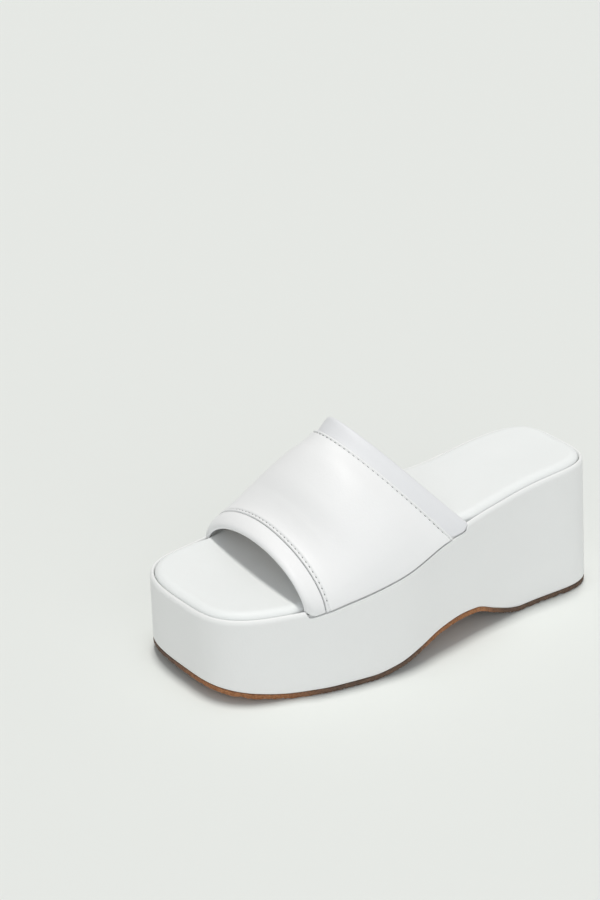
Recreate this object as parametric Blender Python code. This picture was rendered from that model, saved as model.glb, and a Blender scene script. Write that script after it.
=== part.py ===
"""A left platform mule: white leather slide upper on one wrapped wedge platform with a thin outsole.

The toe points along -Y, the heel along +Y, the outer (lateral) side along +X and +Z is up.
Distances along the shoe are called stations and run from the toe to the heel.
"""
import math

import bpy
import numpy as np
from mathutils import Vector

# Last and platform, in metres
LENGTH = 0.250
BALL_WIDTH = 0.106
FORE_HEIGHT = 0.0484
HEEL_HEIGHT = 0.0822
TOE_SPRING = 0.0055
ARCH_LIFT = 0.0133
TOE_CAP_LENGTH = 0.049
HEEL_CAP_LENGTH = 0.059
TOE_SKEW = 0.14
WALL_FLARE = 0.0012
TOE_FLARE = -0.0010
HEEL_FLARE = 0.0080
OUTSOLE_THICKNESS = 0.0030

# Shoulder of the platform and the seat for the insole
SHOULDER_HEIGHT = 0.0030
SHOULDER_WIDTH = 0.0024
SEAT_DEPTH = 0.0040

# Insole
INSOLE_CROWN = 0.0024
INSOLE_EDGE_ROUND = 0.0050
INSOLE_EDGE_DROP = 0.0012
UPPER_ROOM = 0.0020

# Upper
INSTEP_RISE = 0.0500
WALL = 0.0022
ROLL_HEIGHT = 0.0011
UPPER_TUCK = 0.0002

# Gap between pieces that touch
GAP = 0.0003

# Shares of the width and the length over which the flare, the skew and the room die out
FLARE_BLEND = 0.2
SKEW_REACH = 0.3
ROOM_REACH = 0.045

# Steps to either side over which a direction is measured: metres, and a share of the arch
RIM_REACH = 0.0002
ARCH_REACH = 0.002

# How finely the curved pieces are cut
CAP_STEPS = 11
WAIST_STEPS = 8
COVERED_STEPS = 12
SHOULDER_STEPS = 4
ARCH_STEPS = 36
VAMP_STEPS = 12
SHARP_ANGLE = 40

# Colours and roughness of the finishes
WHITE, LEATHER_ROUGHNESS = (0.86, 0.86, 0.85), 0.42
SOFT_WHITE, INSOLE_ROUGHNESS = (0.84, 0.84, 0.83), 0.50
TAN, RUBBER_ROUGHNESS = (0.50, 0.29, 0.15), 0.80

# Outline of the platform's top: half widths as shares of BALL_WIDTH
OUTLINE = (
    # station share, medial, lateral
    (0.00, 0.545, 0.325),
    (0.12, 0.540, 0.360),
    (0.25, 0.578, 0.432),
    (0.40, 0.508, 0.460),
    (0.55, 0.378, 0.394),
    (0.70, 0.314, 0.326),
    (0.85, 0.335, 0.295),
    (1.00, 0.370, 0.328),
)
COLUMN_OF = {"medial": 1, "lateral": 2}
MEDIAL, LATERAL = COLUMN_OF
TOE_SQUARENESS = 3.1
HEEL_SQUARENESS = 3.6

# Rim of the footbed: climb from FORE_HEIGHT to HEEL_HEIGHT
FOOTBED = (
    # station share, climb share
    (0.00, 0.000),
    (0.15, 0.025),
    (0.30, 0.185),
    (0.42, 0.370),
    (0.55, 0.600),
    (0.68, 0.730),
    (0.82, 0.875),
    (1.00, 1.000),
)

# Underside of the outsole: flat at the ball and the heel, lifted at the toe and the waist
UNDERSIDE = (
    # station share, share of TOE_SPRING, share of ARCH_LIFT
    (0.00, 1.00, 0.00),
    (0.07, 0.45, 0.00),
    (0.16, 0.00, 0.00),
    (0.34, 0.00, 0.00),
    (0.40, 0.00, 0.16),
    (0.46, 0.00, 0.48),
    (0.53, 0.00, 0.86),
    (0.59, 0.00, 1.00),
    (0.64, 0.00, 0.92),
    (0.70, 0.00, 0.45),
    (0.75, 0.00, 0.10),
    (0.78, 0.00, 0.00),
    (1.00, 0.00, 0.00),
)

# Arches of the upper from its front edge to its rear edge
UPPER = (
    # along share, lateral station, medial station, lean and crown shift as shares of LENGTH,
    # rise as a share of INSTEP_RISE, squareness
    (0.000, 0.179, 0.189, -0.010, 0.032, 0.506, 2.02),
    (0.110, 0.226, 0.217, -0.007, -0.014, 0.566, 1.95),
    (0.480, 0.387, 0.370, -0.080, -0.041, 0.828, 2.09),
    (0.700, 0.482, 0.466, -0.117, -0.055, 0.940, 2.14),
    (0.880, 0.560, 0.544, -0.154, -0.083, 0.945, 2.00),
    (1.000, 0.614, 0.603, -0.174, -0.098, 1.022, 1.84),
)
FRONT_SEAM, REAR_SEAM = UPPER[1][0], UPPER[-2][0]

# Profiles of the padded bands, from the seam to the free edge
BAND_PROFILE = (
    # width share, top share of ROLL_HEIGHT, underside share of WALL
    (0.00, -0.45, -1.00),
    (0.04, -0.05, -1.00),
    (0.12, 0.45, -1.00),
    (0.28, 0.82, -1.00),
    (0.50, 1.00, -1.00),
    (0.72, 0.85, -1.00),
    (0.87, 0.30, -1.00),
    (0.96, -0.70, -0.92),
    (1.00, -1.30, -0.74),
)


def smooth(table, column, along):
    """Reads a column of a table at a place along its first column, by a smooth curve
    that never swings past its rows."""
    x = [row[0] for row in table]
    y = [row[column] for row in table]
    along = min(max(along, x[0]), x[-1])
    slopes = [(y[i + 1] - y[i]) / (x[i + 1] - x[i]) for i in range(len(x) - 1)]
    tangents = [slopes[0]]
    for before, after in zip(slopes, slopes[1:]):
        same_way = before * after > 0
        tangents.append(2 * before * after / (before + after) if same_way else 0.0)
    tangents.append(slopes[-1])
    i = min(int(np.searchsorted(x, along, side="right")) - 1, len(x) - 2)
    step = x[i + 1] - x[i]
    t = (along - x[i]) / step
    return (
        y[i] * (1 + 2 * t) * (1 - t) ** 2
        + tangents[i] * step * t * (1 - t) ** 2
        + y[i + 1] * t * t * (3 - 2 * t)
        + tangents[i + 1] * step * t * t * (t - 1)
    )


def rim_point(side, station):
    """Point of the platform's top outline at a station: distance along and across."""
    toe = max(1 - station / TOE_CAP_LENGTH, 0.0)
    heel = max(1 - (LENGTH - station) / HEEL_CAP_LENGTH, 0.0)
    toe_share = max(1 - toe ** TOE_SQUARENESS, 0.0) ** (1 / TOE_SQUARENESS)
    heel_share = max(1 - heel ** HEEL_SQUARENESS, 0.0) ** (1 / HEEL_SQUARENESS)
    across = smooth(OUTLINE, COLUMN_OF[side], station / LENGTH) * BALL_WIDTH * toe_share * heel_share
    if side == MEDIAL:
        across = -across
    fade = max(1 - station / (SKEW_REACH * LENGTH), 0.0)
    return station + TOE_SKEW * across * fade, across


def inset_point(side, station, inset):
    """Point of the outline moved square to it, inwards for a positive inset."""
    low = rim_point(side, max(station - RIM_REACH, 0.0))
    high = rim_point(side, min(station + RIM_REACH, LENGTH))
    run, out = high[0] - low[0], high[1] - low[1]
    size = math.hypot(run, out)
    turn = 1 if side == MEDIAL else -1
    along, across = rim_point(side, station)
    return along - turn * inset * out / size, across + turn * inset * run / size


def footbed_height(station):
    climb = smooth(FOOTBED, 1, station / LENGTH)
    return FORE_HEIGHT + climb * (HEEL_HEIGHT - FORE_HEIGHT)


def shoulder_height(station):
    """Height of the ledge on which the foot of the upper stands."""
    return footbed_height(station) - SHOULDER_HEIGHT


def underside_height(station):
    share = station / LENGTH
    return smooth(UNDERSIDE, 1, share) * TOE_SPRING + smooth(UNDERSIDE, 2, share) * ARCH_LIFT


def ledge_width(covered):
    """Width from the outline to the insole's seat, beside the upper's foot or in the open."""
    return UPPER_TUCK + WALL if covered else SHOULDER_WIDTH


def upper_end(row, side):
    """Station at which the upper's front or rear edge meets the platform."""
    return UPPER[row][2 if side == MEDIAL else 1] * LENGTH


def stations(side):
    """Stations of the cuts round one side, with a close pair at each end of the upper,
    and for each of them whether the upper covers it."""
    turns = [math.pi / 2 * i / CAP_STEPS for i in range(CAP_STEPS + 1)]
    front, rear = upper_end(0, side), upper_end(-1, side)
    toe_end, waist_start, heel_start = front - 2 * GAP, rear + 2 * GAP, LENGTH - HEEL_CAP_LENGTH
    toe = [toe_end * (1 - math.cos(t) ** (2 / TOE_SQUARENESS)) for t in turns]
    covered = np.linspace(front - GAP, rear + GAP, COVERED_STEPS)
    waist = np.linspace(waist_start, heel_start, WAIST_STEPS)
    heel = [LENGTH - HEEL_CAP_LENGTH * (1 - math.cos(t) ** (2 / HEEL_SQUARENESS)) for t in turns]
    open_rear = list(waist) + heel[-2::-1]
    cuts = [(s, False) for s in toe] + [(float(s), True) for s in covered]
    return cuts + [(float(s), False) for s in open_rear]


def ring(inset, height):
    """Closed ring of points round the shoe: the medial side from toe to heel, then the
    lateral side back. Inset and height are functions of station and cover."""
    points = []
    for side in (MEDIAL, LATERAL):
        line = []
        for station, covered in stations(side):
            along, across = inset_point(side, station, inset(station, covered))
            if station in (0.0, LENGTH):
                across = 0.0
            line.append(Vector((across, along, height(station, covered))))
        points.append(line)
    medial, lateral = points
    return medial + lateral[-2:0:-1]


def flared(points):
    """Moves a ring of the rim out to the wall's foot by the flares. The side flare dies out
    towards the middle of the toe and the heel."""
    moved = []
    for p in points:
        along = min(max(p.y / LENGTH, 0.0), 1.0)
        out = math.copysign(WALL_FLARE, p.x) * min(abs(p.x) / (FLARE_BLEND * BALL_WIDTH), 1.0)
        back = HEEL_FLARE * along ** 3 - TOE_FLARE * (1 - along) ** 3
        moved.append(Vector((p.x + out, p.y + back, p.z)))
    return moved


def centre():
    """Middle of the platform's bounding box, which stands over the origin."""
    rim = ring(lambda s, c: 0.0, lambda s, c: 0.0)
    edge = rim + flared(rim)
    xs, ys = [p.x for p in edge], [p.y for p in edge]
    return Vector(((min(xs) + max(xs)) / 2, (min(ys) + max(ys)) / 2, 0.0))


def surface(name, colour, roughness):
    """Principled material of a piece; leather, foam and rubber are not metallic."""
    material = bpy.data.materials.new(name)
    material.use_nodes = True
    shader = material.node_tree.nodes["Principled BSDF"]
    shader.inputs["Base Color"].default_value = (*colour, 1.0)
    shader.inputs["Roughness"].default_value = roughness
    shader.inputs["Metallic"].default_value = 0.0
    material.diffuse_color = (*colour, 1.0)
    return material


def add_piece(name, points, faces, material, collection):
    mesh = bpy.data.meshes.new(name)
    origin = centre()
    mesh.from_pydata([p - origin for p in points], [], faces)
    mesh.materials.append(material)
    mesh.validate()
    mesh.shade_smooth()
    mesh.set_sharp_from_angle(angle=math.radians(SHARP_ANGLE))
    collection.objects.link(bpy.data.objects.new(name, mesh))


def stacked(rings):
    """Closed solid through a stack of rings, from the underside up. Its bottom and top are
    filled with strips between the two sides."""
    count = len(rings[0])
    half = count // 2
    points = [p for r in rings for p in r]
    faces = []
    for level in range(len(rings) - 1):
        low, high = level * count, (level + 1) * count
        for i in range(count):
            j = (i + 1) % count
            faces.append((low + j, low + i, high + i, high + j))
    top = (len(rings) - 1) * count
    for i in range(half):
        mirror, next_mirror = (count - i) % count, count - i - 1
        strips = [(i, i + 1, next_mirror)]
        if i > 0:
            strips.append((i, next_mirror, mirror))
        if i == half - 1:
            strips = [(i, half, mirror)]
        for strip in strips:
            faces.append(strip)
            faces.append(tuple(top + k for k in reversed(strip)))
    return points, faces


def arch_point(along, across):
    """Point on the outer skin of the upper. Along runs from the front edge to the rear edge,
    across from the lateral foot over the instep to the medial foot."""
    lateral_foot = smooth(UPPER, 1, along) * LENGTH
    medial_foot = smooth(UPPER, 2, along) * LENGTH
    lean = smooth(UPPER, 3, along) * LENGTH
    shift = smooth(UPPER, 4, along) * LENGTH
    rise = smooth(UPPER, 5, along) * INSTEP_RISE
    power = 2 / smooth(UPPER, 6, along)
    turn = math.pi * across
    side = math.copysign(abs(math.cos(turn)) ** power, math.cos(turn))
    crown = abs(math.sin(turn)) ** power
    lateral = inset_point(LATERAL, lateral_foot, UPPER_TUCK)
    medial = inset_point(MEDIAL, medial_foot, UPPER_TUCK)
    blend = (1 - side) / 2
    base = shoulder_height(lateral_foot) * (1 - blend) + shoulder_height(medial_foot) * blend
    return Vector((
        lateral[1] * (1 - blend) + medial[1] * blend + shift * crown,
        lateral[0] * (1 - blend) + medial[0] * blend + lean * crown,
        base + GAP + rise * crown,
    ))


def skin_point(along, across, depth):
    """Point of the upper at a depth above its outer skin (below it where negative). At the
    feet the wall stands level on the ledge."""
    low, high = max(across - ARCH_REACH, 0.0), min(across + ARCH_REACH, 1.0)
    point = arch_point(along, across)
    ahead = arch_point(along + ARCH_REACH, across) - arch_point(along - ARCH_REACH, across)
    over = arch_point(along, high) - arch_point(along, low)
    normal = ahead.cross(over).normalized()
    if across in (0.0, 1.0):
        normal = Vector((normal.x, normal.y, 0.0)).normalized()
    return point + normal * depth


def arched(top, under):
    """Closed solid swept over the instep. Top and under are rows of (along, depth) from front
    to rear, one above the other."""
    rows = []
    for i in range(ARCH_STEPS + 1):
        across = i / ARCH_STEPS
        rows.append([skin_point(a, across, d) for a, d in top + under[::-1]])
    count = len(rows[0])
    points = [p for row in rows for p in row]
    faces = []
    for i in range(ARCH_STEPS):
        low, high = i * count, (i + 1) * count
        for j in range(count):
            k = (j + 1) % count
            faces.append((low + j, low + k, high + k, high + j))
    last = ARCH_STEPS * count
    for j in range(len(top) - 1):
        strip = (j, j + 1, count - 2 - j, count - 1 - j)
        faces.append(strip[::-1])
        faces.append(tuple(last + k for k in strip))
    return points, faces


def band(seam, edge):
    """Padded band between the vamp's seam and a free edge, with a rounded roll."""
    length = abs(UPPER[0][1] - UPPER[-1][1]) * LENGTH
    start = seam + math.copysign(GAP / length, edge - seam)
    top, under = [], []
    for width, high, low in BAND_PROFILE:
        along = start + (edge - start) * width
        top.append((along, high * ROLL_HEIGHT))
        under.append((along, low * WALL))
    if edge < seam:
        top.reverse()
        under.reverse()
    return arched(top, under)


def vamp():
    """Main panel of the upper: an even wall from seam to seam."""
    alongs = np.linspace(FRONT_SEAM, REAR_SEAM, VAMP_STEPS + 1)
    return arched([(a, 0.0) for a in alongs], [(a, -WALL) for a in alongs])


def platform():
    """Wrapped wedge block with a rounded shoulder. Where the upper stands, the shoulder is
    cut down to a level ledge as wide as the foot of the upper."""
    foot = OUTSOLE_THICKNESS + GAP
    bottom = ring(lambda s, c: 0.0, lambda s, c: underside_height(s) + foot)
    rings = [flared(bottom), ring(lambda s, c: 0.0, lambda s, c: shoulder_height(s))]
    for i in range(1, SHOULDER_STEPS + 1):
        turn = math.pi / 2 * i / SHOULDER_STEPS
        share, lift = 1 - math.cos(turn), SHOULDER_HEIGHT * math.sin(turn)
        rings.append(ring(
            lambda s, c: share * ledge_width(c),
            lambda s, c: shoulder_height(s) + (0.0 if c else lift),
        ))
    rings.append(ring(lambda s, c: ledge_width(c), lambda s, c: footbed_height(s) - SEAT_DEPTH))
    return stacked(rings)


def outsole():
    """Thin rubber sheet under the platform."""
    under = ring(lambda s, c: 0.0, lambda s, c: underside_height(s))
    over = ring(lambda s, c: 0.0, lambda s, c: underside_height(s) + OUTSOLE_THICKNESS)
    return stacked([flared(under), flared(over)])


def drawn_in(station):
    """How much further in the insole's edge lies beside the upper, eased in at its ends."""
    front = max(upper_end(0, MEDIAL), upper_end(0, LATERAL))
    rear = min(upper_end(-1, MEDIAL), upper_end(-1, LATERAL))
    inside = min(station - front, rear - station) / (ROOM_REACH * LENGTH)
    room = UPPER_ROOM + max(ledge_width(True) - ledge_width(False), 0.0)
    return room * min(max(inside + 1.0, 0.0), 1.0)


def insole():
    """Padded footbed in its seat, with a rounded edge."""
    edge = SHOULDER_WIDTH + GAP
    seat = GAP - SEAT_DEPTH
    rings = [ring(lambda s, c: edge + drawn_in(s), lambda s, c: footbed_height(s) + seat)]
    for i in range(SHOULDER_STEPS + 1):
        turn = math.pi / 2 * i / SHOULDER_STEPS
        width = edge + INSOLE_EDGE_ROUND * (1 - math.cos(turn))
        lift = INSOLE_CROWN * math.sin(turn) - INSOLE_EDGE_DROP * (1 - math.sin(turn))
        rings.append(ring(lambda s, c: width + drawn_in(s), lambda s, c: footbed_height(s) + lift))
    return stacked(rings)


def main():
    for old in list(bpy.data.objects):
        bpy.data.objects.remove(old)
    collection = bpy.data.collections.new("platform_mule")
    bpy.context.scene.collection.children.link(collection)
    white = surface("white_leather", WHITE, LEATHER_ROUGHNESS)
    lining = surface("white_insole_leather", SOFT_WHITE, INSOLE_ROUGHNESS)
    rubber = surface("tan_rubber", TAN, RUBBER_ROUGHNESS)
    add_piece("outsole", *outsole(), rubber, collection)
    add_piece("platform", *platform(), white, collection)
    add_piece("insole", *insole(), lining, collection)
    add_piece("upper", *vamp(), white, collection)
    add_piece("front_band", *band(FRONT_SEAM, UPPER[0][0]), white, collection)
    add_piece("rear_band", *band(REAR_SEAM, UPPER[-1][0]), white, collection)


main()
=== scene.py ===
"""Looks of a left platform mule: white nappa over a tall foam wedge, a wide slip-on vamp with padded rolled
edges, a padded white insole and a thin tan rubber sole. The toe points along -Y, the outer side along +X."""
import math

import bpy
import numpy as np
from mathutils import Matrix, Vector


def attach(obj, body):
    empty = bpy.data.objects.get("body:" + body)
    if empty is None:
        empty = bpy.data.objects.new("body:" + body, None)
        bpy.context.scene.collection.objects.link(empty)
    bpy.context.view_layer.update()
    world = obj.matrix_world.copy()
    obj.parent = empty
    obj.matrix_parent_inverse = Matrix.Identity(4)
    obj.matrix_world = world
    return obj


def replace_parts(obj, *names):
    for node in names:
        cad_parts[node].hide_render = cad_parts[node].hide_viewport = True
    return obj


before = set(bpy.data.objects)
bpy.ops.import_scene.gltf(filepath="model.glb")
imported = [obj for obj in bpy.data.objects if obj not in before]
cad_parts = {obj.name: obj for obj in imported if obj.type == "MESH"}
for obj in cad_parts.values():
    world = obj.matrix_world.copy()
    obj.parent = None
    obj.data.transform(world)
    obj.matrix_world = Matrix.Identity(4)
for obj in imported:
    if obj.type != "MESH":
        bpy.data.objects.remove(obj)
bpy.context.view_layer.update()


# Outsole
# A thin sheet of tan rubber, glued under the platform and trimmed flush on a wheel, which leaves
# its edge matt and a little ragged. It is flat at the ball and the heel and lifts at toe and waist.
LENGTH, BALL_WIDTH = 0.250, 0.106
TOE_SPRING, ARCH_LIFT = 0.0055, 0.0133
TOE_CAP_LENGTH, HEEL_CAP_LENGTH = 0.049, 0.059
TOE_SQUARENESS, HEEL_SQUARENESS = 3.1, 3.6
TOE_SKEW, SKEW_REACH = 0.14, 0.3
WALL_FLARE, TOE_FLARE, HEEL_FLARE, FLARE_BLEND = 0.0012, -0.0010, 0.0080, 0.2
OUTSOLE_THICKNESS = 0.0030
MEDIAL, LATERAL = -1, 1
OUTLINE = (
    # station share, medial and lateral half widths as shares of BALL_WIDTH
    (0.00, 0.545, 0.325),
    (0.12, 0.540, 0.360),
    (0.25, 0.578, 0.432),
    (0.40, 0.508, 0.460),
    (0.55, 0.378, 0.394),
    (0.70, 0.314, 0.326),
    (0.85, 0.335, 0.295),
    (1.00, 0.370, 0.328),
)
UNDERSIDE = (
    # station share, share of TOE_SPRING, share of ARCH_LIFT
    (0.00, 1.00, 0.00),
    (0.07, 0.45, 0.00),
    (0.16, 0.00, 0.00),
    (0.34, 0.00, 0.00),
    (0.40, 0.00, 0.16),
    (0.46, 0.00, 0.48),
    (0.53, 0.00, 0.86),
    (0.59, 0.00, 1.00),
    (0.64, 0.00, 0.92),
    (0.70, 0.00, 0.45),
    (0.75, 0.00, 0.10),
    (0.78, 0.00, 0.00),
    (1.00, 0.00, 0.00),
)
TOE_CUTS_END, CAP_CUTS, SIDE_CUTS, MIDDLE_CUTS = 0.046, 70, 420, 4001
RAG, NOTCH, NOTCHED_BELOW = 0.00022, 0.00030, 0.001
# Spots where the sole's edge is painted a lit tan, as painted light; elsewhere it is painted a shaded brown
PAINTED_LIT_SPOTS = ((0.034, -0.112, 0.002, 0.034), (0.048, 0.020, 0.014, 0.028))  # place, then reach
SOLE_EDGE = (
    # how far in, height above the floor side, and share of the rag, in metres
    (0.00045, 0.00000, 1.0),
    (0.00010, 0.00020, 1.0),
    (0.00000, 0.00060, 0.8),
    (0.00000, 0.00120, 0.5),
    (0.00000, 0.00190, 0.3),
    (0.00005, 0.00260, 0.1),
    (0.00020, 0.00295, 0.0),
)


def smooth(table, column, along):
    """Column of a table, read by a smooth curve that never swings past its rows."""
    rows = np.array(table)
    x, y = rows[:, 0], rows[:, column]
    step = np.diff(x)
    slope = np.diff(y) / step
    pair, total = slope[:-1] * slope[1:], slope[:-1] + slope[1:]
    inner = np.where(pair > 0, 2 * pair / np.where(pair > 0, total, 1.0), 0.0)
    tangent = np.concatenate((slope[:1], inner, slope[-1:]))
    along = np.clip(along, x[0], x[-1])
    i = np.clip(np.searchsorted(x, along, side="right") - 1, 0, len(x) - 2)
    t = (along - x[i]) / step[i]
    return (
        y[i] * (1 + 2 * t) * (1 - t) ** 2
        + tangent[i] * step[i] * t * (1 - t) ** 2
        + y[i + 1] * t * t * (3 - 2 * t)
        + tangent[i + 1] * step[i] * t * t * (t - 1)
    )


def rim(side, station):
    """Top outline of the platform at distances from the toe: how far along and how far across."""
    toe = np.clip(1 - station / TOE_CAP_LENGTH, 0, 1)
    heel = np.clip(1 - (LENGTH - station) / HEEL_CAP_LENGTH, 0, 1)
    toe_share = (1 - toe ** TOE_SQUARENESS) ** (1 / TOE_SQUARENESS)
    heel_share = (1 - heel ** HEEL_SQUARENESS) ** (1 / HEEL_SQUARENESS)
    column = 1 if side == MEDIAL else 2
    width = smooth(OUTLINE, column, station / LENGTH) * BALL_WIDTH
    across = side * width * toe_share * heel_share
    fade = np.clip(1 - station / (SKEW_REACH * LENGTH), 0, None)
    return station + TOE_SKEW * across * fade, across


def eased(steps, squareness):
    """Turns from 0 to a right angle that space points evenly round a squared cap."""
    u = np.linspace(0, 1, steps + 1)
    rise, fall = u ** (squareness / 2), (1 - u) ** (squareness / 2)
    return math.pi / 2 * rise / (rise + fall)


def cap_and_waist(cuts, toe_end, heel_start):
    """Distances from the toe of all cuts of one side, with the given cuts between the two caps."""
    toe_turns, heel_turns = eased(CAP_CUTS, TOE_SQUARENESS), eased(CAP_CUTS, HEEL_SQUARENESS)
    toe = toe_end * (1 - np.cos(toe_turns) ** (2 / TOE_SQUARENESS))
    heel = LENGTH - (LENGTH - heel_start) * (1 - np.cos(heel_turns) ** (2 / HEEL_SQUARENESS))
    return np.concatenate((toe, cuts, heel[::-1]))


def round_shoe(medial, lateral):
    """Closed line of (along, across, station) round the shoe, with the way inwards at each point."""
    line = []
    for side, cuts in ((MEDIAL, medial), (LATERAL, lateral[-2:0:-1])):
        along, across = rim(side, cuts)
        line.append(np.stack((along, across, cuts), axis=1))
    line = np.concatenate(line)
    ahead = np.roll(line, -1, axis=0) - np.roll(line, 1, axis=0)
    size = np.hypot(ahead[:, 0], ahead[:, 1])
    inward = np.stack((-ahead[:, 1] / size, ahead[:, 0] / size), axis=1)
    return line, inward


def underside(station):
    """Height of the outsole's floor side at distances from the toe."""
    share = station / LENGTH
    return smooth(UNDERSIDE, 1, share) * TOE_SPRING + smooth(UNDERSIDE, 2, share) * ARCH_LIFT


def flared(along, across, share):
    """Moves points of the rim out towards the wall's foot; share is 0 at the rim, 1 at the foot."""
    place = np.clip(along / LENGTH, 0, 1)
    side = np.clip(across / (FLARE_BLEND * BALL_WIDTH), -1, 1)
    back = HEEL_FLARE * place ** 3 - TOE_FLARE * (1 - place) ** 3
    return along + share * back, across + share * WALL_FLARE * side


every_cut = np.linspace(0, LENGTH, MIDDLE_CUTS)
edge_along = np.concatenate([rim(side, every_cut)[0] for side in (MEDIAL, LATERAL)])
edge_across = np.concatenate([rim(side, every_cut)[1] for side in (MEDIAL, LATERAL)])
foot_along, foot_across = flared(edge_along, edge_across, 1.0)
all_along = np.concatenate((edge_along, foot_along))
all_across = np.concatenate((edge_across, foot_across))
MIDDLE = np.array((
    (all_across.min() + all_across.max()) / 2,
    (all_along.min() + all_along.max()) / 2,
    0.0,
))


def piece(name, points, faces, *materials, sharp=40):
    """A finished piece in the row's frame, smooth but for edges sharper than the given angle."""
    mesh = bpy.data.meshes.new(name)
    mesh.from_pydata((np.array(points) - MIDDLE).tolist(), [], faces)
    for material in materials:
        mesh.materials.append(material)
    mesh.validate()
    mesh.shade_smooth()
    mesh.set_sharp_from_angle(angle=math.radians(sharp))
    made = bpy.data.objects.new(name, mesh)
    bpy.context.scene.collection.objects.link(made)
    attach(made, "root")
    return made


def stacked(rings):
    """Points and faces of a closed solid through a stack of rings, from the underside up."""
    count = len(rings[0])
    half = count // 2
    faces = []
    for level in range(len(rings) - 1):
        low, high = level * count, (level + 1) * count
        for i in range(count):
            j = (i + 1) % count
            faces.append((low + j, low + i, high + i, high + j))
    top = (len(rings) - 1) * count
    for i in range(half):
        strip = (i, i + 1, count - i - 1, (count - i) % count)
        if i == 0:
            strip = (0, 1, count - 1)
        if i == half - 1:
            strip = (i, half, half + 1)
        faces.append(strip)
        faces.append(tuple(top + k for k in reversed(strip)))
    return np.concatenate(rings), faces


def linear(code):
    """A colour given as an sRGB hex value, turned to linear."""
    shares = [int(code[i:i + 2], 16) / 255 for i in (1, 3, 5)]
    return [c / 12.92 if c <= 0.04045 else ((c + 0.055) / 1.055) ** 2.4 for c in shares] + [1.0]


def node(tree, kind, inputs=(), **settings):
    """Adds a node, with its settings, and with values or links on its inputs."""
    added = tree.nodes.new(kind)
    for name, value in settings.items():
        setattr(added, name, value)
    for key, value in dict(inputs).items():
        if isinstance(value, bpy.types.NodeSocket):
            tree.links.new(value, added.inputs[key])
        else:
            added.inputs[key].default_value = value
    return added


def two_tones(tree, factor, low, dark, high, light):
    """Colour that goes from a dark to a light tone between two values of a factor."""
    ramp = node(tree, "ShaderNodeValToRGB", {"Fac": factor})
    ends = ramp.color_ramp.elements
    ends[0].position, ends[1].position = low, high
    ends[0].color, ends[1].color = linear(dark), linear(light)
    return ramp.outputs["Color"]


def mixed(tree, factor, first, second, **settings):
    """Colour mixed from two others."""
    mix = node(tree, "ShaderNodeMix", {"Factor": factor, "A": first, "B": second},
               data_type="RGBA", **settings)
    return next(out for out in mix.outputs if out.type == "RGBA")


def coated(tree, output, inputs):
    """Ends a material with a Principled shader that has the given inputs."""
    shader = node(tree, "ShaderNodeBsdfPrincipled", inputs)
    tree.links.new(shader.outputs["BSDF"], output.inputs["Surface"])


def finish_named(name):
    """An empty material with its output, its tree, and the place of each point in metres."""
    material = bpy.data.materials.new(name)
    material.use_nodes = True
    tree = material.node_tree
    tree.nodes.clear()
    output = node(tree, "ShaderNodeOutputMaterial")
    place = node(tree, "ShaderNodeTexCoord").outputs["Object"]
    return material, tree, output, place


# Crepe-like rubber sheet, buffed on its edge: dry and matt, with light tan crumbs and dark pits. Its edge is
# painted a lit tan at the outer toe corner and under the waist, and a shaded brown elsewhere: painted light
# and painted shade.
CRUMB, MOTTLE = 0.0011, 0.0077
rubber, tree, output, place = finish_named("buffed_tan_rubber")
crumb = node(tree, "ShaderNodeTexNoise", {
    "Vector": place, "Scale": 1 / CRUMB, "Detail": 4.0, "Roughness": 0.7,
}).outputs["Fac"]
mottle = node(tree, "ShaderNodeTexNoise", {
    "Vector": place, "Scale": 1 / MOTTLE, "Detail": 2.0,
}).outputs["Fac"]
painted_lit_reaches = []
for x, y, z, reach in PAINTED_LIT_SPOTS:
    away = node(tree, "ShaderNodeVectorMath", {0: place, 1: (x, y, z)}, operation="DISTANCE")
    near = node(tree, "ShaderNodeMapRange", {
        "Value": away.outputs["Value"], "From Min": reach * 0.5, "From Max": reach * 1.5,
        "To Min": 1.0, "To Max": 0.0,
    }, interpolation_type="SMOOTHSTEP")
    painted_lit_reaches.append(near.outputs["Result"])
painted_lit_share = node(tree, "ShaderNodeMath", dict(enumerate(painted_lit_reaches)), operation="MAXIMUM").outputs[0]
# Painted shade and painted light: a shaded brown and a lit tan of the same rubber, mixed by the painted lit
# spots
brown = two_tones(tree, crumb, 0.38, "#5B4A40", 0.66, "#8A6E5A")
tan = two_tones(tree, crumb, 0.36, "#8A5A38", 0.62, "#C98C5E")
worn = mixed(tree, mottle, linear("#FFFFFF"), linear("#C4BDB6"))
bump = node(tree, "ShaderNodeBump", {"Height": crumb, "Distance": 0.0004})
coated(tree, output, {
    "Base Color": mixed(tree, 1.0, mixed(tree, painted_lit_share, brown, tan), worn, blend_type="MULTIPLY"),
    "Roughness": 0.85, "IOR": 1.52, "Normal": bump.outputs["Normal"],
})

side_cuts = np.linspace(TOE_CUTS_END, LENGTH - HEEL_CAP_LENGTH, SIDE_CUTS)[1:-1]
cuts = cap_and_waist(side_cuts, TOE_CUTS_END, LENGTH - HEEL_CAP_LENGTH)
line, inward = round_shoe(cuts, cuts)
chance = np.random.default_rng(11)
rag = chance.normal(0, 1, len(line))
rag = 0.5 * rag + 0.25 * (np.roll(rag, 1) + np.roll(rag, -1))
notch = np.abs(chance.normal(0, 1, len(line)))
rings = []
for depth, height, share in SOLE_EDGE:
    depths = depth + share * RAG * np.abs(rag)
    along, across = line[:, 0] + inward[:, 0] * depths, line[:, 1] + inward[:, 1] * depths
    along, across = flared(along, across, 1.0)
    lift = NOTCH * notch * share * (height < NOTCHED_BELOW)
    rings.append(np.stack((across, along, underside(line[:, 2]) + height + lift), axis=1))
rings[-1][:, 2] = underside(line[:, 2]) + OUTSOLE_THICKNESS
sole = piece("outsole_sheet", *stacked(rings), rubber)
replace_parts(sole, "outsole")


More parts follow.
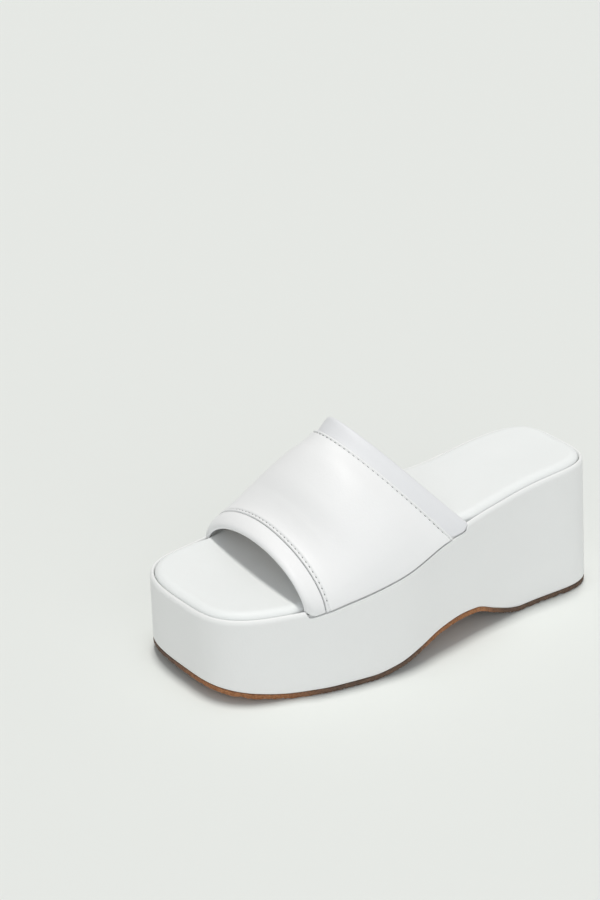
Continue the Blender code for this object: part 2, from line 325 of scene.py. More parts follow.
# Platform cover
# White nappa drawn tight over the foam wedge, turned over a soft shoulder at the top and under the
# foot, and closed by one lapped seam on the inner side of the waist. Where the upper comes out,
# the shoulder is drawn down to a ledge.
FORE_HEIGHT, HEEL_HEIGHT = 0.0484, 0.0822
SHOULDER_HEIGHT, SHOULDER_WIDTH, SEAT_DEPTH = 0.0030, 0.0024, 0.0040
GAP, WALL, UPPER_TUCK = 0.0003, 0.0022, 0.0002
COVER_START, COVER_EASE = 0.0002, 0.0028
FOOT_TURN, FOOT_TURN_SHARE, LEDGE_ROOM, SEAT_ROOM = 0.0007, 0.024, 0.0010, 0.0001
WRAP_SEAM_TOP, WRAP_SEAM_SLIDE, WRAP_SEAM_NEAR = 0.127, 0.009, 0.016
WRAP_SEAM_DIP, WRAP_SEAM_WIDTH, WRAP_LAP, WRAP_LAP_FADE = 0.00032, 0.00030, 0.00022, 0.006
FOOTBED = (
    # station share, share of the climb from FORE_HEIGHT to HEEL_HEIGHT
    (0.00, 0.000),
    (0.15, 0.025),
    (0.30, 0.185),
    (0.42, 0.370),
    (0.55, 0.600),
    (0.68, 0.730),
    (0.82, 0.875),
    (1.00, 1.000),
)
UPPER = (
    # along share, lateral and medial station, lean and crown shift as shares of LENGTH,
    # rise as a share of INSTEP_RISE, squareness
    (0.000, 0.179, 0.189, -0.010, 0.032, 0.506, 2.02),
    (0.110, 0.226, 0.217, -0.007, -0.014, 0.566, 1.95),
    (0.480, 0.387, 0.370, -0.080, -0.041, 0.828, 2.09),
    (0.700, 0.482, 0.466, -0.117, -0.055, 0.940, 2.14),
    (0.880, 0.560, 0.544, -0.154, -0.083, 0.945, 2.00),
    (1.000, 0.614, 0.603, -0.174, -0.098, 1.022, 1.84),
)
SHOULDER = (
    # open shoulder: how far in and height, as shares of its width and height; beside the upper:
    # how far in and height of the bead and of the crevice behind it, in metres
    (0.00, -0.30, -0.00015, -0.00230),
    (0.00, 0.05, -0.00032, -0.00165),
    (0.03, 0.28, -0.00030, -0.00110),
    (0.11, 0.52, -0.00008, -0.00078),
    (0.24, 0.76, 0.00022, -0.00088),
    (0.40, 0.93, 0.00050, -0.00150),
    (0.56, 1.00, 0.00095, -0.00190),
    (0.72, 0.96, 0.00140, -0.00150),
    (0.86, 0.80, 0.00185, -0.00060),
    (0.96, 0.50, 0.00215, 0.00000),
    (1.00, 0.10, 0.00240, -0.00010),
)


def footbed(station):
    """Height of the shoulder's top at distances from the toe."""
    climb = smooth(FOOTBED, 1, station / LENGTH)
    return FORE_HEIGHT + climb * (HEEL_HEIGHT - FORE_HEIGHT)


def upper_end(row, side):
    """Distance from the toe at which a row of the upper meets one side."""
    return UPPER[row][2 if side == MEDIAL else 1] * LENGTH


def cuts_beside_upper(side):
    """Cuts of one side, close together at the upper's two ends and at the wrap's seam."""
    front, rear = upper_end(0, side), upper_end(-1, side)
    end = np.array((-1.8, -1.0, -0.4, 0.0, 0.4, 0.8, 1.3, 1.8, 2.4, 3.0, 3.6, 4.2, 5.0, 5.9)) / 1000
    close = np.array((-1.8, -1.2, -0.8, -0.5, -0.25, 0.0, 0.25, 0.5, 0.8, 1.2, 1.8)) / 1000
    seam = WRAP_SEAM_TOP + close
    parts = (
        front + end,
        np.linspace(front + end[-1], seam[0], 72)[1:-1],
        seam,
        np.linspace(seam[-1], rear - end[-1], 20)[1:-1],
        rear - end[::-1],
        np.linspace(rear - end[0], LENGTH - HEEL_CAP_LENGTH, 46)[1:-1],
    )
    return cap_and_waist(np.concatenate(parts), front - 0.0024, LENGTH - HEEL_CAP_LENGTH)


def eased_step(value):
    """Soft step from 0 to 1."""
    share = np.clip(value, 0, 1)
    return share * share * (3 - 2 * share)


def cover_of(line):
    """1 where the upper stands on the ledge, 0 in the open, eased in beside its free edges, whose
    feet come up inside the shoulder."""
    side = np.where(line[:, 1] < 0, 0, 1)
    front = np.array((upper_end(0, MEDIAL), upper_end(0, LATERAL)))[side]
    rear = np.array((upper_end(-1, MEDIAL), upper_end(-1, LATERAL)))[side]
    inside = np.minimum(line[:, 2] - front, rear - line[:, 2])
    return eased_step((inside - COVER_START) / COVER_EASE)


HIDE_CLOUD, HIDE_PULL = 0.045, 0.014


def nappa(name, pale, shade, roughness, grain):
    """Smooth full-grain leather with a thin white finish: near white with a breath of tone,
    softly glossy, with a fine grain that only shows close up. Grain is the cell's size in metres."""
    material, tree, output, place = finish_named(name)
    tone = node(tree, "ShaderNodeTexNoise", {"Vector": place, "Scale": 1 / HIDE_CLOUD, "Detail": 3.0})
    colour = mixed(tree, tone.outputs["Fac"], linear(pale), linear(shade))
    cells = node(tree, "ShaderNodeTexVoronoi", {"Vector": place, "Scale": 1 / grain})
    pull = node(tree, "ShaderNodeTexNoise", {"Vector": place, "Scale": 1 / HIDE_PULL, "Detail": 2.0})
    fine = node(tree, "ShaderNodeBump", {"Height": cells.outputs["Distance"], "Distance": 0.00003})
    soft = node(tree, "ShaderNodeBump", {
        "Height": pull.outputs["Fac"], "Distance": 0.00025, "Normal": fine.outputs["Normal"],
    })
    gloss = node(tree, "ShaderNodeMapRange", {
        "Value": pull.outputs["Fac"], "To Min": roughness - 0.04, "To Max": roughness + 0.05,
    })
    coated(tree, output, {
        "Base Color": colour, "Roughness": gloss.outputs["Result"], "IOR": 1.48,
        "Coat Weight": 0.06, "Coat Roughness": 0.42, "Normal": soft.outputs["Normal"],
    })
    return material


# The vamp's leather, left soft, and the same hide drawn tight over the wedge, a little glossier and painted
# a touch lighter: painted light on the walls, which the overhead light leaves in shade
white_nappa = nappa("white_nappa", "#F0F1F1", "#ECEDED", 0.58, 0.0011)
wrap_nappa = nappa("white_nappa_drawn_tight", "#F2F3F2", "#EEEFEE", 0.50, 0.0012)

cuts = {side: cuts_beside_upper(side) for side in (MEDIAL, LATERAL)}
wall_shares = np.concatenate(([0.0, 0.006, 0.014, 0.024, 0.04], np.linspace(0.07, 0.97, 22)))
levels = [("wall", share) for share in wall_shares] + [("shoulder", row) for row in SHOULDER]
levels.append(("seat", 0))
rings = []
for kind, value in levels:
    slide = WRAP_SEAM_SLIDE * (1 - (value if kind == "wall" else 1.0)) ** 1.6
    near = np.exp(-((cuts[MEDIAL] - WRAP_SEAM_TOP) / WRAP_SEAM_NEAR) ** 2)
    medial = np.sort(cuts[MEDIAL] + slide * near)
    line, inward = round_shoe(medial, cuts[LATERAL])
    station, cover = line[:, 2], cover_of(line)
    ledge = footbed(station) - SHOULDER_HEIGHT
    foot = underside(station) + OUTSOLE_THICKNESS + GAP / 2
    if kind == "wall":
        depth = FOOT_TURN * np.clip(1 - value / FOOT_TURN_SHARE, 0, 1) ** 2
        height = foot + (ledge - LEDGE_ROOM - foot) * value
        lean = 1 - (height - foot) / (ledge - foot)
    elif kind == "shoulder":
        open_in, open_up, ledge_in, ledge_up = value
        depth = open_in * SHOULDER_WIDTH * (1 - cover) + ledge_in * cover
        height = ledge + open_up * SHOULDER_HEIGHT * (1 - cover) + ledge_up * cover
        lean = 0.0
    else:
        depth = SHOULDER_WIDTH + SEAT_ROOM
        height = footbed(station) - SEAT_DEPTH
        lean = 0.0
    if kind == "wall" or value == SHOULDER[0]:
        past_seam = np.where(line[:, 1] < 0, station - (WRAP_SEAM_TOP + slide), 1.0)
        depth = depth + WRAP_SEAM_DIP * np.exp(-(past_seam / WRAP_SEAM_WIDTH) ** 2)
        lap = eased_step(past_seam / WRAP_SEAM_WIDTH) * np.exp(-past_seam.clip(0) / WRAP_LAP_FADE)
        depth = depth - WRAP_LAP * lap
    along, across = line[:, 0] + inward[:, 0] * depth, line[:, 1] + inward[:, 1] * depth
    along, across = flared(along, across, lean)
    rings.append(np.stack((across, along, height), axis=1))
cover_piece = piece("platform_cover", *stacked(rings), wrap_nappa)
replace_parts(cover_piece, "platform")


# Insole
# A board with thin foam under white sock leather, its edge turned down into the seat, so a fine
# groove runs round it. The foam gives it a low crown and a shallow hollow for the heel and the ball.
INSOLE_CROWN, INSOLE_EDGE_ROUND, INSOLE_EDGE_DROP = 0.0024, 0.0050, 0.0012
UPPER_ROOM, ROOM_REACH = 0.0020, 0.045
INSOLE_CUTS, TURN_STEPS, CROSS_STEPS, HOLLOW_FADE = 120, 12, 60, 0.08
HOLLOWS = (
    # station share, place across from the inner side, reach along, reach across, depth in metres
    (0.86, 0.50, 0.110, 0.30, 0.0007),
    (0.30, 0.45, 0.120, 0.30, 0.0006),
    (0.56, 0.25, 0.100, 0.22, -0.0005),
    (0.10, 0.50, 0.060, 0.34, 0.0003),
)


def drawn_in(line):
    """How much further in the insole's edge lies beside the upper, eased in at its ends."""
    front = max(upper_end(0, MEDIAL), upper_end(0, LATERAL))
    rear = min(upper_end(-1, MEDIAL), upper_end(-1, LATERAL))
    inside = np.minimum(line[:, 2] - front, rear - line[:, 2]) / (ROOM_REACH * LENGTH)
    return UPPER_ROOM * eased_step(inside + 1)


# Sock leather: thinner and more open in the grain than the vamp's, and drier
sock = nappa("white_sock_leather", "#EDF0EF", "#E9ECEB", 0.56, 0.0014)
insole_cuts = cap_and_waist(
    np.linspace(TOE_CUTS_END, LENGTH - HEEL_CAP_LENGTH, INSOLE_CUTS)[1:-1],
    TOE_CUTS_END, LENGTH - HEEL_CAP_LENGTH)
line, inward = round_shoe(insole_cuts, insole_cuts)
edge = SHOULDER_WIDTH + GAP + drawn_in(line)
levels = [(0.0, GAP - SEAT_DEPTH)]
for turn in np.linspace(0, math.pi / 2, TURN_STEPS):
    climb = INSOLE_CROWN * math.sin(turn) - INSOLE_EDGE_DROP * (1 - math.sin(turn))
    levels.append((INSOLE_EDGE_ROUND * (1 - math.cos(turn)), climb))
rings = []
for turned_in, lift in levels:
    depth = edge + turned_in
    along, across = line[:, 0] + inward[:, 0] * depth, line[:, 1] + inward[:, 1] * depth
    rings.append(np.stack((across, along, footbed(line[:, 2]) + lift), axis=1))
points, faces = stacked(rings)
count, half = len(line), len(line) // 2
top = (len(rings) - 1) * count
faces = [f for f in faces if not all(k >= top for k in f)]
points, previous = list(points), [top]
for i in range(1, half + 1):
    if i == half:
        row = [top + half]
    else:
        inner, outer = points[top + i], points[top + count - i]
        row = [top + i]
        for k in range(1, CROSS_STEPS):
            share = k / CROSS_STEPS
            point = inner + (outer - inner) * share
            for station, place_across, reach, width, sink in HOLLOWS:
                away = ((point[1] / LENGTH - station) / reach) ** 2
                away += ((share - place_across) / width) ** 2
                edge_fade = min(share, 1 - share, i / half, 1 - i / half) / HOLLOW_FADE
                point = point - np.array((0, 0, sink * math.exp(-away) * min(edge_fade, 1.0)))
            row.append(len(points))
            points.append(point)
        row.append(top + count - i)
    if len(previous) == 1 or len(row) == 1:
        tip, side = (previous[0], row) if len(previous) == 1 else (row[0], previous[::-1])
        faces += [(tip, side[k + 1], side[k]) for k in range(len(side) - 1)]
    else:
        faces += [(previous[k], previous[k + 1], row[k + 1], row[k]) for k in range(CROSS_STEPS)]
    previous = row
insole = piece("insole_sock", points, faces, sock)
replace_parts(insole, "insole")


# Vamp and its lining
# One wide panel of white nappa over the instep, lasted down into the groove on both sides. Its
# front and rear edges are folded under, lapped over the bands and topstitched; a tan pigskin
# lining is glued inside it.
INSTEP_RISE = 0.0500
FREE_FOOT_INSET, FREE_FOOT_LIFT, FREE_FOOT_REACH = 0.0016, 0.0022, 0.055
FOOT_SWELL, FOOT_SWELL_REACH, LEVEL_FOOT, FACING_CUTS = 0.00035, 0.030, 0.02, 24
FRONT_SEAM, REAR_SEAM = UPPER[1][0], UPPER[-2][0]
LEATHER_THICKNESS, LINING_GAP = 0.0014, 0.00005
STITCH_LINE = 0.00155
ACROSS_STEPS, PANEL_STEPS, WALK_SHARE, WALK_STEPS = 220, 62, 0.14, 57
FOLD = (
    # distance from the seam, height over the panel, in millimetres
    (0.00, -0.95),
    (0.06, -0.25),
    (0.16, 0.25),
    (0.40, 0.52),
    (0.75, 0.55),
    (1.10, 0.32),
    (1.38, -0.22),
    (1.55, -0.44),
    (1.75, -0.24),
    (2.10, 0.16),
    (2.70, 0.30),
    (4.00, 0.14),
    (6.50, 0.00),
)
SWELLS = (
    # along and across share, reach of each, height in metres: soft waves where the panel eases
    (0.52, 0.30, 0.16, 0.07, 0.00045),
    (0.66, 0.22, 0.10, 0.05, -0.00040),
    (0.36, 0.20, 0.12, 0.05, -0.00025),
    (0.50, 0.74, 0.20, 0.08, 0.00030),
)


def inset(side, station, depth):
    """Point of the rim moved square to it, inwards for a positive depth."""
    low, high = rim(side, station - 0.0002), rim(side, station + 0.0002)
    run, out = high[0] - low[0], high[1] - low[1]
    size = np.hypot(run, out)
    along, across = rim(side, station)
    return along + side * depth * out / size, across - side * depth * run / size


def arch(along, across):
    """Points of the upper's outer skin. Along runs from the front edge to the rear edge, across
    from the lateral foot over the instep to the medial foot."""
    lateral_foot, medial_foot = (smooth(UPPER, c, along) * LENGTH for c in (1, 2))
    lean, shift = (smooth(UPPER, c, along) * LENGTH for c in (3, 4))
    rise, power = smooth(UPPER, 5, along) * INSTEP_RISE, 2 / smooth(UPPER, 6, along)
    turn = math.pi * across
    side = np.sign(np.cos(turn)) * np.abs(np.cos(turn)) ** power
    crown = np.abs(np.sin(turn)) ** power
    free = eased_step(1 - along / FREE_FOOT_REACH) + eased_step(1 - (1 - along) / FREE_FOOT_REACH)
    lateral = inset(LATERAL, lateral_foot, UPPER_TUCK + FREE_FOOT_INSET * free)
    medial = inset(MEDIAL, medial_foot, UPPER_TUCK + FREE_FOOT_INSET * free)
    blend = (1 - side) / 2
    base = footbed(lateral_foot) * (1 - blend) + footbed(medial_foot) * blend - SHOULDER_HEIGHT
    base = base + FREE_FOOT_LIFT * free * (1 - crown) ** 4
    return np.stack((
        lateral[1] * (1 - blend) + medial[1] * blend + shift * crown,
        lateral[0] * (1 - blend) + medial[0] * blend + lean * crown,
        base + GAP + rise * crown,
    ), axis=-1)


def outward(along, across):
    """Unit normals of the upper's skin, turned level at the feet, where the wall stands on the ledge."""
    reach = 0.002
    low, high = np.maximum(across - reach, 0.0), np.minimum(across + reach, 1.0)
    ahead = arch(along + reach, across) - arch(along - reach, across)
    over = arch(along, high) - arch(along, low)
    normal = np.cross(ahead, over)
    normal /= np.linalg.norm(normal, axis=-1, keepdims=True)
    level = np.clip(np.minimum(across, 1 - across) / LEVEL_FOOT, 0, 1)
    normal[..., 2] *= level
    return normal / np.linalg.norm(normal, axis=-1, keepdims=True)


def alongs_from_seam(seam, way, distances, across):
    """Along shares that lie the given distances, in metres, from a seam at one place across."""
    shares = seam + way * np.linspace(0, WALK_SHARE, WALK_STEPS)
    walk = arch(shares, np.full_like(shares, across))
    run = np.concatenate(([0.0], np.cumsum(np.linalg.norm(np.diff(walk, axis=0), axis=1))))
    return np.interp(distances, run, shares)


def foot_swell(across):
    """How far the leather bulges over its foot, where it turns in under the shoulder."""
    near = np.minimum(across, 1 - across) / FOOT_SWELL_REACH
    return FOOT_SWELL * np.exp(-near ** 2)


def swept(rows):
    """Points and faces of a closed solid from equal closed rows, from the lateral to the medial foot."""
    count, last = len(rows[0]), (len(rows) - 1) * len(rows[0])
    faces = []
    for i in range(len(rows) - 1):
        low, high = i * count, (i + 1) * count
        for j in range(count):
            k = (j + 1) % count
            faces.append((low + j, low + k, high + k, high + j))
    for j in range(count // 2 - 1):
        strip = (j, j + 1, count - 2 - j, count - 1 - j)
        faces.append(strip[::-1])
        faces.append(tuple(last + k for k in strip))
    return np.concatenate(rows), faces


fold_distances = np.array((0, .05, .10, .16, .26, .40, .58, .75, .92, 1.1, 1.25, 1.38, 1.47, 1.55,
                           1.65, 1.75, 1.92, 2.1, 2.35, 2.7, 3.2, 4.0, 4.6, 5.5, 6.5)) / 1000
fold_heights = smooth(FOLD, 1, fold_distances * 1000) / 1000
acrosses = np.linspace(0, 1, ACROSS_STEPS + 1)
vamp_rows, lining_rows = [], []
for across in acrosses:
    front = alongs_from_seam(FRONT_SEAM, 1, fold_distances, across)
    rear = alongs_from_seam(REAR_SEAM, -1, fold_distances, across)[::-1]
    middle = np.linspace(front[-1], rear[0], PANEL_STEPS)[1:-1]
    shares = np.concatenate((front, middle, rear))
    heights = np.concatenate((fold_heights, 0 * middle, fold_heights[::-1]))
    for place_along, place_across, reach, width, swell in SWELLS:
        away = ((shares - place_along) / reach) ** 2 + ((across - place_across) / width) ** 2
        heights = heights + swell * np.exp(-away)
    heights = heights + foot_swell(across)
    at = np.full_like(shares, across)
    skin, normal = arch(shares, at), outward(shares, at)
    vamp_rows.append(np.concatenate((
        skin + normal * heights[:, None], (skin - normal * LEATHER_THICKNESS)[::-1])))
    lining_top = skin - normal * (LEATHER_THICKNESS + LINING_GAP)
    lining_rows.append(np.concatenate((lining_top, (skin - normal * WALL)[::-1])))
vamp = piece("vamp_panel", *swept(vamp_rows), white_nappa, sharp=55)
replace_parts(vamp, "upper")

# Pigskin split for linings: warm tan, cloudy, dry and matt, with small pores and a short nap; its
# margins beside the seams are faced with the white leather. The tan is the lining's own colour, darkened a
# little as painted shade that deepens the shadow in the toe opening.
SPLIT_CLOUD, PORE = 0.011, 0.0016
pigskin, tree, output, place = finish_named("tan_pigskin_lining")
cloud = node(tree, "ShaderNodeTexNoise", {"Vector": place, "Scale": 1 / SPLIT_CLOUD, "Detail": 3.0})
pores = node(tree, "ShaderNodeTexVoronoi", {"Vector": place, "Scale": 1 / PORE})
bump = node(tree, "ShaderNodeBump", {"Height": pores.outputs["Distance"], "Distance": 0.0001})
coated(tree, output, {
    "Base Color": two_tones(tree, cloud.outputs["Fac"], 0.35, "#9A8068", 0.68, "#B3987E"),
    "Roughness": 0.80, "IOR": 1.47, "Sheen Weight": 0.15, "Sheen Roughness": 0.5,
    "Normal": bump.outputs["Normal"],
})
lining = piece("vamp_lining", *swept(lining_rows), pigskin, white_nappa, sharp=55)
stations_of_row = len(lining_rows[0]) // 2
for polygon in lining.data.polygons:
    place_in_row = np.array([v % (2 * stations_of_row) for v in polygon.vertices])
    from_front = np.minimum(place_in_row, 2 * stations_of_row - 1 - place_in_row).max()
    beside_a_seam = min(from_front, stations_of_row - 1 - from_front) < FACING_CUTS
    polygon.material_index = 1 if beside_a_seam else 0


# Padded bands
# Strips of white nappa rolled round a soft foam cord along the toe opening and the rear opening,
# sewn under the vamp's folded edge. The roll turns under and faces the inside of the opening.
BAND = (
    # place round the section, share of the band's width from the seam, depth of the front and of
    # the rear band in millimetres; the rear band rises all the way to its lip
    (0.00, 0.000, -0.80, -1.10),
    (0.03, 0.007, -0.30, -1.02),
    (0.07, 0.025, 0.00, -0.90),
    (0.14, 0.090, 0.36, -0.62),
    (0.24, 0.270, 0.72, -0.10),
    (0.36, 0.470, 0.92, 0.42),
    (0.48, 0.680, 0.92, 0.88),
    (0.57, 0.840, 0.62, 1.08),
    (0.64, 0.945, -0.10, 0.62),
    (0.69, 0.990, -0.90, -0.35),
    (0.73, 0.990, -1.60, -1.25),
    (0.78, 0.930, -2.10, -1.95),
    (0.85, 0.760, -2.25, -2.25),
    (1.00, 0.000, -2.20, -2.20),
)
BAND_STEPS = 52


def padded_band(name, seam, edge, column, leather):
    """A roll from a seam to an edge of the upper, with its depths from a column of BAND."""
    keys = np.linspace(0, 1, BAND_STEPS)
    width_share, depth = smooth(BAND, 1, keys), smooth(BAND, column, keys) / 1000
    rows = []
    for across in acrosses:
        start = alongs_from_seam(seam, math.copysign(1, edge - seam), np.array((GAP,)), across)[0]
        shares = start + (edge - start) * width_share
        at = np.full_like(shares, across)
        row = arch(shares, at) + outward(shares, at) * depth[:, None]
        rows.append(row if edge > seam else row[::-1])
    band = piece(name, *swept(rows), leather, sharp=60)
    return band


# The rear strip is painted a little darker, cooler and greyer than the vamp: painted shade, as on a strip
# tilted away from the light
painted_shade_nappa = nappa("white_nappa_painted_cool_shade", "#E5E6E8", "#E0E2E4", 0.55, 0.0011)
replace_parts(padded_band("front_band_roll", FRONT_SEAM, UPPER[0][0], 2, white_nappa), "front_band")
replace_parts(padded_band("rear_band_roll", REAR_SEAM, UPPER[-1][0], 3, painted_shade_nappa), "rear_band")


# Topstitching
# White bonded polyester thread, one row along each folded edge of the vamp, right through to the
# lining. Each stitch rises a little from its hole, bridges the sunk line and dives again.
STITCH_PITCH, STITCH_SHARE = 0.0033, 0.62
THREAD_RADIUS, STITCH_RISE, DIVE_SHARE, PEAK_SHARE = 0.00027, 0.00030, 1.2, 1.6
HOLE_LENGTH, SHORT_HOLE, HOLE_SLIMNESS = 0.00062, 0.00048, 0.46
FRONT_SINK, REAR_SINK = 0.00026, 0.00020
FIRST_STITCH, PATH_POINTS = 0.006, 400

# Bonded thread: three twisted plies under a thin clear bond, a little glossy
PLY_TWIST = 0.00033
thread, tree, output, place = finish_named("bonded_polyester_thread")
twist = node(tree, "ShaderNodeTexNoise", {"Vector": place, "Scale": 1 / PLY_TWIST, "Detail": 1.0})
bump = node(tree, "ShaderNodeBump", {"Height": twist.outputs["Fac"], "Distance": 0.00005})
coated(tree, output, {
    "Base Color": linear("#E6E7E6"), "Roughness": 0.45, "IOR": 1.55,
    "Normal": bump.outputs["Normal"],
})

# Painted shade: a dark disc laid at each needle hole, standing in for the shadow inside it
painted_hole_shade, tree, output, place = finish_named("painted_needle_hole_shade")
coated(tree, output, {
    "Base Color": linear("#565958"), "Roughness": 0.95, "Specular IOR Level": 0.1,
})

stitching = bpy.data.node_groups.new("stitch_row", "GeometryNodeTree")
face = stitching.interface
face.new_socket("Path", in_out="INPUT", socket_type="NodeSocketGeometry")
for label, default in (("Pitch", STITCH_PITCH), ("Stitch length", STITCH_PITCH * STITCH_SHARE),
                       ("Thread radius", THREAD_RADIUS), ("Rise", STITCH_RISE),
                       ("Hole length", HOLE_LENGTH)):
    socket = face.new_socket(label, in_out="INPUT", socket_type="NodeSocketFloat")
    socket.default_value = default
face.new_socket("Thread", in_out="INPUT", socket_type="NodeSocketMaterial")
face.new_socket("Hole", in_out="INPUT", socket_type="NodeSocketMaterial")
face.new_socket("Stitches", in_out="OUTPUT", socket_type="NodeSocketGeometry")
given = node(stitching, "NodeGroupInput").outputs
path = node(stitching, "GeometryNodeMeshToCurve", {"Mesh": given["Path"]})
spaced = node(stitching, "GeometryNodeResampleCurve", {
    "Curve": path.outputs["Curve"], "Length": given["Pitch"],
}, mode="LENGTH")
half_length = node(stitching, "ShaderNodeMath", {
    0: given["Stitch length"], 1: 0.5,
}, operation="MULTIPLY")
back_length = node(stitching, "ShaderNodeMath", {
    0: half_length.outputs[0], 1: -1.0,
}, operation="MULTIPLY")
dive = node(stitching, "ShaderNodeMath", {0: given["Rise"], 1: -DIVE_SHARE}, operation="MULTIPLY")
peak = node(stitching, "ShaderNodeMath", {0: given["Rise"], 1: PEAK_SHARE}, operation="MULTIPLY")
start = node(stitching, "ShaderNodeCombineXYZ", {"X": back_length.outputs[0], "Z": dive.outputs[0]})
top_point = node(stitching, "ShaderNodeCombineXYZ", {"Z": peak.outputs[0]})
end = node(stitching, "ShaderNodeCombineXYZ", {"X": half_length.outputs[0], "Z": dive.outputs[0]})
bow = node(stitching, "GeometryNodeCurveQuadraticBezier", {
    "Resolution": 6, "Start": start.outputs[0], "Middle": top_point.outputs[0],
    "End": end.outputs[0],
})
ring_of_thread = node(stitching, "GeometryNodeCurvePrimitiveCircle", {
    "Resolution": 6, "Radius": given["Thread radius"],
})
one_stitch = node(stitching, "GeometryNodeCurveToMesh", {
    "Curve": bow.outputs[0], "Profile Curve": ring_of_thread.outputs["Curve"], "Fill Caps": True,
})
heading = node(stitching, "GeometryNodeInputTangent")
away = node(stitching, "GeometryNodeInputNamedAttribute", {"Name": "away"},
            data_type="FLOAT_VECTOR")
ahead = node(stitching, "FunctionNodeAlignRotationToVector", {
    "Vector": heading.outputs[0],
}, axis="X")
turned = node(stitching, "FunctionNodeAlignRotationToVector", {
    "Rotation": ahead.outputs[0], "Vector": away.outputs[0],
}, axis="Z", pivot_axis="X")
placed = node(stitching, "GeometryNodeInstanceOnPoints", {
    "Points": spaced.outputs[0], "Instance": one_stitch.outputs[0], "Rotation": turned.outputs[0],
})
half_pitch = node(stitching, "ShaderNodeMath", {0: given["Pitch"], 1: 0.5}, operation="MULTIPLY")
beside = node(stitching, "ShaderNodeCombineXYZ", {"X": half_pitch.outputs[0]})
# Dark discs of painted shade, laid between the stitches at the needle holes
disc = node(stitching, "GeometryNodeMeshCircle", {
    "Vertices": 10, "Radius": given["Hole length"],
}, fill_type="NGON")
hole = node(stitching, "GeometryNodeTransform", {
    "Geometry": disc.outputs[0], "Translation": beside.outputs[0], "Scale": (1.0, HOLE_SLIMNESS, 1.0),
})
holes = node(stitching, "GeometryNodeInstanceOnPoints", {
    "Points": spaced.outputs[0], "Instance": hole.outputs[0], "Rotation": turned.outputs[0],
})
real_thread = node(stitching, "GeometryNodeRealizeInstances", {"Geometry": placed.outputs[0]})
clad_thread = node(stitching, "GeometryNodeSetMaterial", {
    "Geometry": real_thread.outputs[0], "Material": given["Thread"],
})
real_holes = node(stitching, "GeometryNodeRealizeInstances", {"Geometry": holes.outputs[0]})
clad_holes = node(stitching, "GeometryNodeSetMaterial", {
    "Geometry": real_holes.outputs[0], "Material": given["Hole"],
})
both = node(stitching, "GeometryNodeJoinGeometry")
stitching.links.new(clad_holes.outputs[0], both.inputs[0])
stitching.links.new(clad_thread.outputs[0], both.inputs[0])
node(stitching, "NodeGroupOutput", {"Stitches": both.outputs[0]})


def stitch_row(name, seam, way, depth, outer, hole_length):
    """A row of stitches, with dark discs of painted shade at the needle holes, beside a seam, on the outer
    skin or on the lining.
    """
    places = np.linspace(FIRST_STITCH, 1 - FIRST_STITCH, PATH_POINTS)
    shares = np.array([
        alongs_from_seam(seam, way, np.array((STITCH_LINE,)), a)[0] for a in places])
    normal = outward(shares, places)
    points = arch(shares, places) + normal * depth - MIDDLE
    mesh = bpy.data.meshes.new(name)
    mesh.from_pydata(points.tolist(), [(i, i + 1) for i in range(len(points) - 1)], [])
    kept = mesh.attributes.new("away", "FLOAT_VECTOR", "POINT")
    kept.data.foreach_set("vector", (normal if outer else -normal).ravel())
    row = bpy.data.objects.new(name, mesh)
    bpy.context.scene.collection.objects.link(row)
    modifier = row.modifiers.new("stitches", "NODES")
    modifier.node_group = stitching
    sockets = {s.name: s.identifier for s in face.items_tree if s.in_out == "INPUT"}
    modifier[sockets["Thread"]] = thread
    modifier[sockets["Hole"]] = painted_hole_shade
    modifier[sockets["Pitch"]] = STITCH_PITCH
    modifier[sockets["Hole length"]] = hole_length
    seen = row.evaluated_get(bpy.context.evaluated_depsgraph_get())
    stitches = bpy.data.meshes.new_from_object(seen)
    row.modifiers.clear()
    row.data = stitches
    row.data.name = name
    row.data.shade_smooth()
    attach(row, "root")
    return row


stitch_row("front_topstitch", FRONT_SEAM, 1, -FRONT_SINK, True, SHORT_HOLE)
stitch_row("rear_topstitch", REAR_SEAM, -1, -REAR_SINK, True, HOLE_LENGTH)
stitch_row("front_lining_stitch", FRONT_SEAM, 1, -WALL - LINING_GAP, False, HOLE_LENGTH)
stitch_row("rear_lining_stitch", REAR_SEAM, -1, -WALL - LINING_GAP, False, HOLE_LENGTH)


# Studio
# A pale grey-green paper sweep, lit by a softbox overhead, a broad low white card at the shoe's outer
# side and an even surround, seen from the outer front quarter.
FLOOR_REACH, SURROUND, CAMERA_LENS, FAR_CLIP = 8.0, 0.395, 63.0, 50.0
CAMERA_PLACE, CAMERA_LOOK = Vector((0.6324, -0.4506, 0.4588)), Vector((-0.7697, 0.4829, -0.4175))

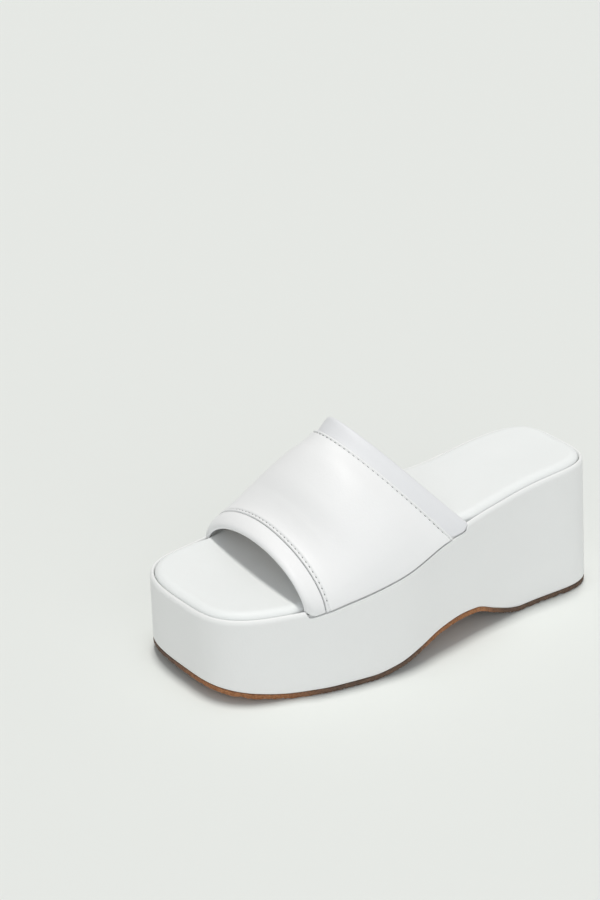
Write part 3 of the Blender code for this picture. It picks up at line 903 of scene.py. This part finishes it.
# Uncoated paper: wholly matt, with a barely felt fibre
FIBRE = 0.0033
sweep, tree, output, place = finish_named("matt_pale_paper")
fibre = node(tree, "ShaderNodeTexNoise", {"Vector": place, "Scale": 1 / FIBRE, "Detail": 2.0})
bump = node(tree, "ShaderNodeBump", {"Height": fibre.outputs["Fac"], "Distance": 0.00002})
coated(tree, output, {
    "Base Color": linear("#E2E5E2"), "Roughness": 0.95, "Specular IOR Level": 0.0,
    "Normal": bump.outputs["Normal"],
})
corners = [(x * FLOOR_REACH, y * FLOOR_REACH, 0) for x, y in ((-1, -1), (1, -1), (1, 1), (-1, 1))]
floor_mesh = bpy.data.meshes.new("floor")
floor_mesh.from_pydata(corners, [], [(0, 1, 2, 3)])
floor_mesh.materials.append(sweep)
floor = bpy.data.objects.new("floor", floor_mesh)
bpy.context.scene.collection.objects.link(floor)

world = bpy.data.worlds.new("studio")
world.use_nodes = True
background = world.node_tree.nodes["Background"]
background.inputs["Color"].default_value = linear("#FBFCFD")
background.inputs["Strength"].default_value = SURROUND
bpy.context.scene.world = world


def soft_sun(name, toward, strength, spread, colour):
    """A broad, even light from a direction, as from a large softbox far off."""
    data = bpy.data.lights.new(name, "SUN")
    data.energy = strength
    data.angle = math.radians(spread)
    data.color = linear(colour)[:3]
    light = bpy.data.objects.new(name, data)
    light.rotation_euler = Vector(toward).to_track_quat("Z", "Y").to_euler()
    bpy.context.scene.collection.objects.link(light)


soft_sun("overhead_softbox", (-0.075, 0.02, 1.0), 1.78, 9, "#FFFDFA")
soft_sun("low_white_card", (0.95, -0.34, 0.16), 1.22, 80, "#FBFCFF")

camera_data = bpy.data.cameras.new("camera")
camera_data.lens = CAMERA_LENS
camera_data.clip_end = FAR_CLIP
camera = bpy.data.objects.new("camera", camera_data)
camera.location = CAMERA_PLACE
camera.rotation_euler = CAMERA_LOOK.to_track_quat("-Z", "Y").to_euler()
bpy.context.scene.collection.objects.link(camera)
bpy.context.scene.camera = camera
bpy.context.scene.view_settings.view_transform = "Standard"
